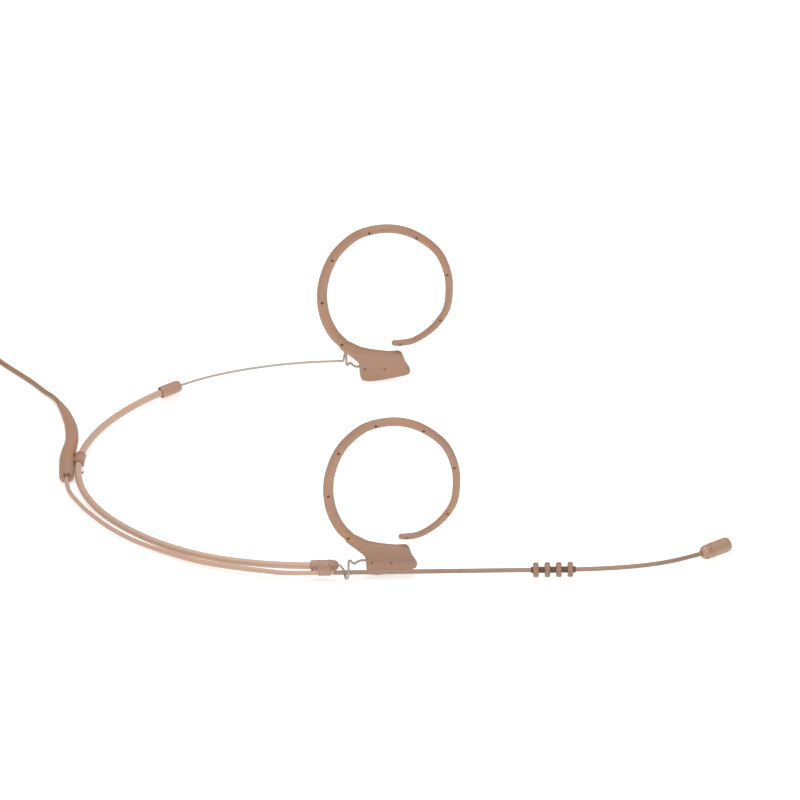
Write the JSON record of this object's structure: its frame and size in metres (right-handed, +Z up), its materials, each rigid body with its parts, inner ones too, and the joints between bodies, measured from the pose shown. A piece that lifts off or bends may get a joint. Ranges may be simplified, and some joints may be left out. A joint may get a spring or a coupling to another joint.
{
  "type": "headset microphone",
  "caption": "Headworn microphone: a thin neckband with two sliding, folding ear hooks and a boom with moisture discs and a small capsule, its cord coiled beside a locking connector.",
  "frame": {"origin": "on the table, under the middle of the headset without its cord", "axes": "+X the way the boom runs from the neckband to the mouth, +Y towards the ear hook that has no boom, +Z up"},
  "size_m": [0.3195, 0.1661, 0.072],
  "materials": {
    "neckband_plastic": "satin, flesh-coloured tube",
    "sheath_rubber": "smooth satin elastomer tube",
    "sleeve_plastic": "satin moulded",
    "bush_nylon": "natural",
    "boot_rubber": "matte moulded elastomer",
    "crimp_brass": "plain",
    "signal_copper": "enamelled copper",
    "hook_elastomer": "matte moulded elastomer",
    "spring_steel": "drawn",
    "hook_wire_coat": "coated steel wire",
    "steel_tube": "polished tube",
    "boom_rubber": "smooth satin elastomer tube",
    "shield_core_rubber": "matte, ribbed",
    "shield_rubber": "satin moulded",
    "capsule_plastic": "satin moulded",
    "grid_steel": "fine woven mesh",
    "gasket_rubber": "matte",
    "element_metal": "drawn can",
    "element_foil": "metallised film",
    "board": "solder mask",
    "chip": "moulded",
    "cord_jacket": "matte extruded jacket",
    "tie_fabric": "woven hook-and-loop strap",
    "connector_metal": "black plated",
    "connector_plastic": "moulded",
    "relief_rubber": "matte",
    "contact_gold": "gold plated",
    "latch_metal": "satin"
  },
  "bodies": {
    "neckband": {"neckband_tube": "neckband_plastic", "far_sleeve": "sleeve_plastic", "near_sleeve": "sleeve_plastic", "far_sleeve_bush": "bush_nylon", "near_sleeve_bush": "bush_nylon", "boom_sheath": "sheath_rubber", "sheath_signal_core": "signal_copper", "boot_shell": "boot_rubber", "boot_crimp_ferrule": "crimp_brass", "cord_anchor_sleeve": "crimp_brass", "band_clip": "boot_rubber", "cord_run": "cord_jacket", "cord_coil": "cord_jacket", "cord_tie": "tie_fabric", "cord_tail": "cord_jacket", "connector_shell": "connector_metal", "connector_relief": "relief_rubber", "connector_chuck": "connector_plastic", "connector_insert": "connector_plastic", "connector_contact_1": "contact_gold", "connector_contact_2": "contact_gold", "connector_contact_3": "contact_gold"},
    "connector_latch": {"connector_latch": "latch_metal"},
    "far_slide": {"far_hook_wire": "hook_wire_coat", "far_wire_stop": "crimp_brass"},
    "far_hook": {"far_ear_loop": "hook_elastomer", "far_loop_core": "spring_steel", "far_pad_socket": "bush_nylon"},
    "near_slide": {"near_hook_wire": "hook_wire_coat", "near_wire_stop": "crimp_brass"},
    "near_hook": {"near_ear_loop": "hook_elastomer", "near_loop_core": "spring_steel", "near_pad_socket": "bush_nylon"},
    "boom_slider": {"boom_tail": "steel_tube"},
    "boom": {"boom_tube": "boom_rubber", "boom_signal_core": "signal_copper", "shield_sleeve": "shield_core_rubber", "shield_disc_1": "shield_rubber", "shield_disc_2": "shield_rubber", "shield_disc_3": "shield_rubber", "shield_disc_4": "shield_rubber", "capsule_front_cap": "capsule_plastic", "capsule_rear_cup": "capsule_plastic", "capsule_grid": "grid_steel", "element_gasket": "gasket_rubber", "element_can": "element_metal", "element_diaphragm": "element_foil", "element_backplate": "element_metal", "amplifier_board": "board", "amplifier_chip": "chip"}
  },
  "joints": [
    {"name": "latch_press", "type": "hinge", "parent": "neckband", "child": "connector_latch", "pos_m": [-0.186, 0.0286, 0.0094], "axis": [1, 0, 0], "range_deg": [0, 2.5], "stiffness_Nm_per_rad": 0.05},
    {"name": "far_hook_extension", "type": "hinge", "parent": "neckband", "child": "far_slide", "pos_m": [-0.03672, -0.02608, 0.00571], "axis": [-0.0349, 0, 0.9994], "range_deg": [-5, 10]},
    {"name": "far_hook_fold", "type": "hinge", "parent": "far_slide", "child": "far_hook", "pos_m": [-0.012, 0.0641, 0.0061], "axis": [1, 0, 0], "range_deg": [-20, 50]},
    {"name": "near_hook_extension", "type": "hinge", "parent": "neckband", "child": "near_slide", "pos_m": [-0.0243, 0.07245, 0.00614], "axis": [-0.0349, 0, 0.9994], "range_deg": [0, 3.8]},
    {"name": "near_hook_fold", "type": "hinge", "parent": "near_slide", "child": "near_hook", "pos_m": [-0.0094, -0.0641, 0.0061], "axis": [-1, 0, 0], "range_deg": [-20, 50]},
    {"name": "boom_slide", "type": "slide", "parent": "neckband", "child": "boom_slider", "axis": [0.9997, 0.0236, 0], "range_m": [0, 0.008]},
    {"name": "boom_roll", "type": "hinge", "parent": "boom_slider", "child": "boom", "pos_m": [-0.0226, -0.072, 0.00595], "axis": [0.9997, 0.0236, 0], "range_deg": [-40, 40]}
  ]
}
